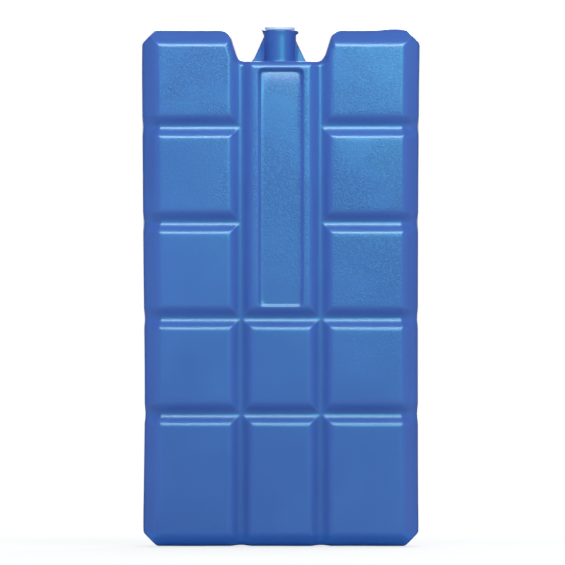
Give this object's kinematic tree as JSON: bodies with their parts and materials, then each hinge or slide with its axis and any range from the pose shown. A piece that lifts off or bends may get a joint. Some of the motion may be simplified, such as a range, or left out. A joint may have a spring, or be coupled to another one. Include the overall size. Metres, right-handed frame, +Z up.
{
  "type": "reusable ice pack",
  "caption": "Flat upright freezer block for a cool box: raised pillows with grooves between them, a long recessed centre panel, and a plugged filler neck in a notch at the top.",
  "frame": {"origin": "middle of the flat bottom end, on the parting plane between the two mould halves", "axes": "+Z up along the length towards the filler neck, -Y out of the front face, +X to the right as seen from the front"},
  "size_m": [0.09, 0.033, 0.1688],
  "materials": {
    "block_plastic": "blow-moulded polyethylene, opaque mid blue, satin with a fine pebbled grain",
    "plug_plastic": "pale bluish white moulded polyethylene, satin"
  },
  "bodies": {
    "root": {"block_body": "block_plastic", "neck_plug": "plug_plastic"}
  },
  "joints": []
}
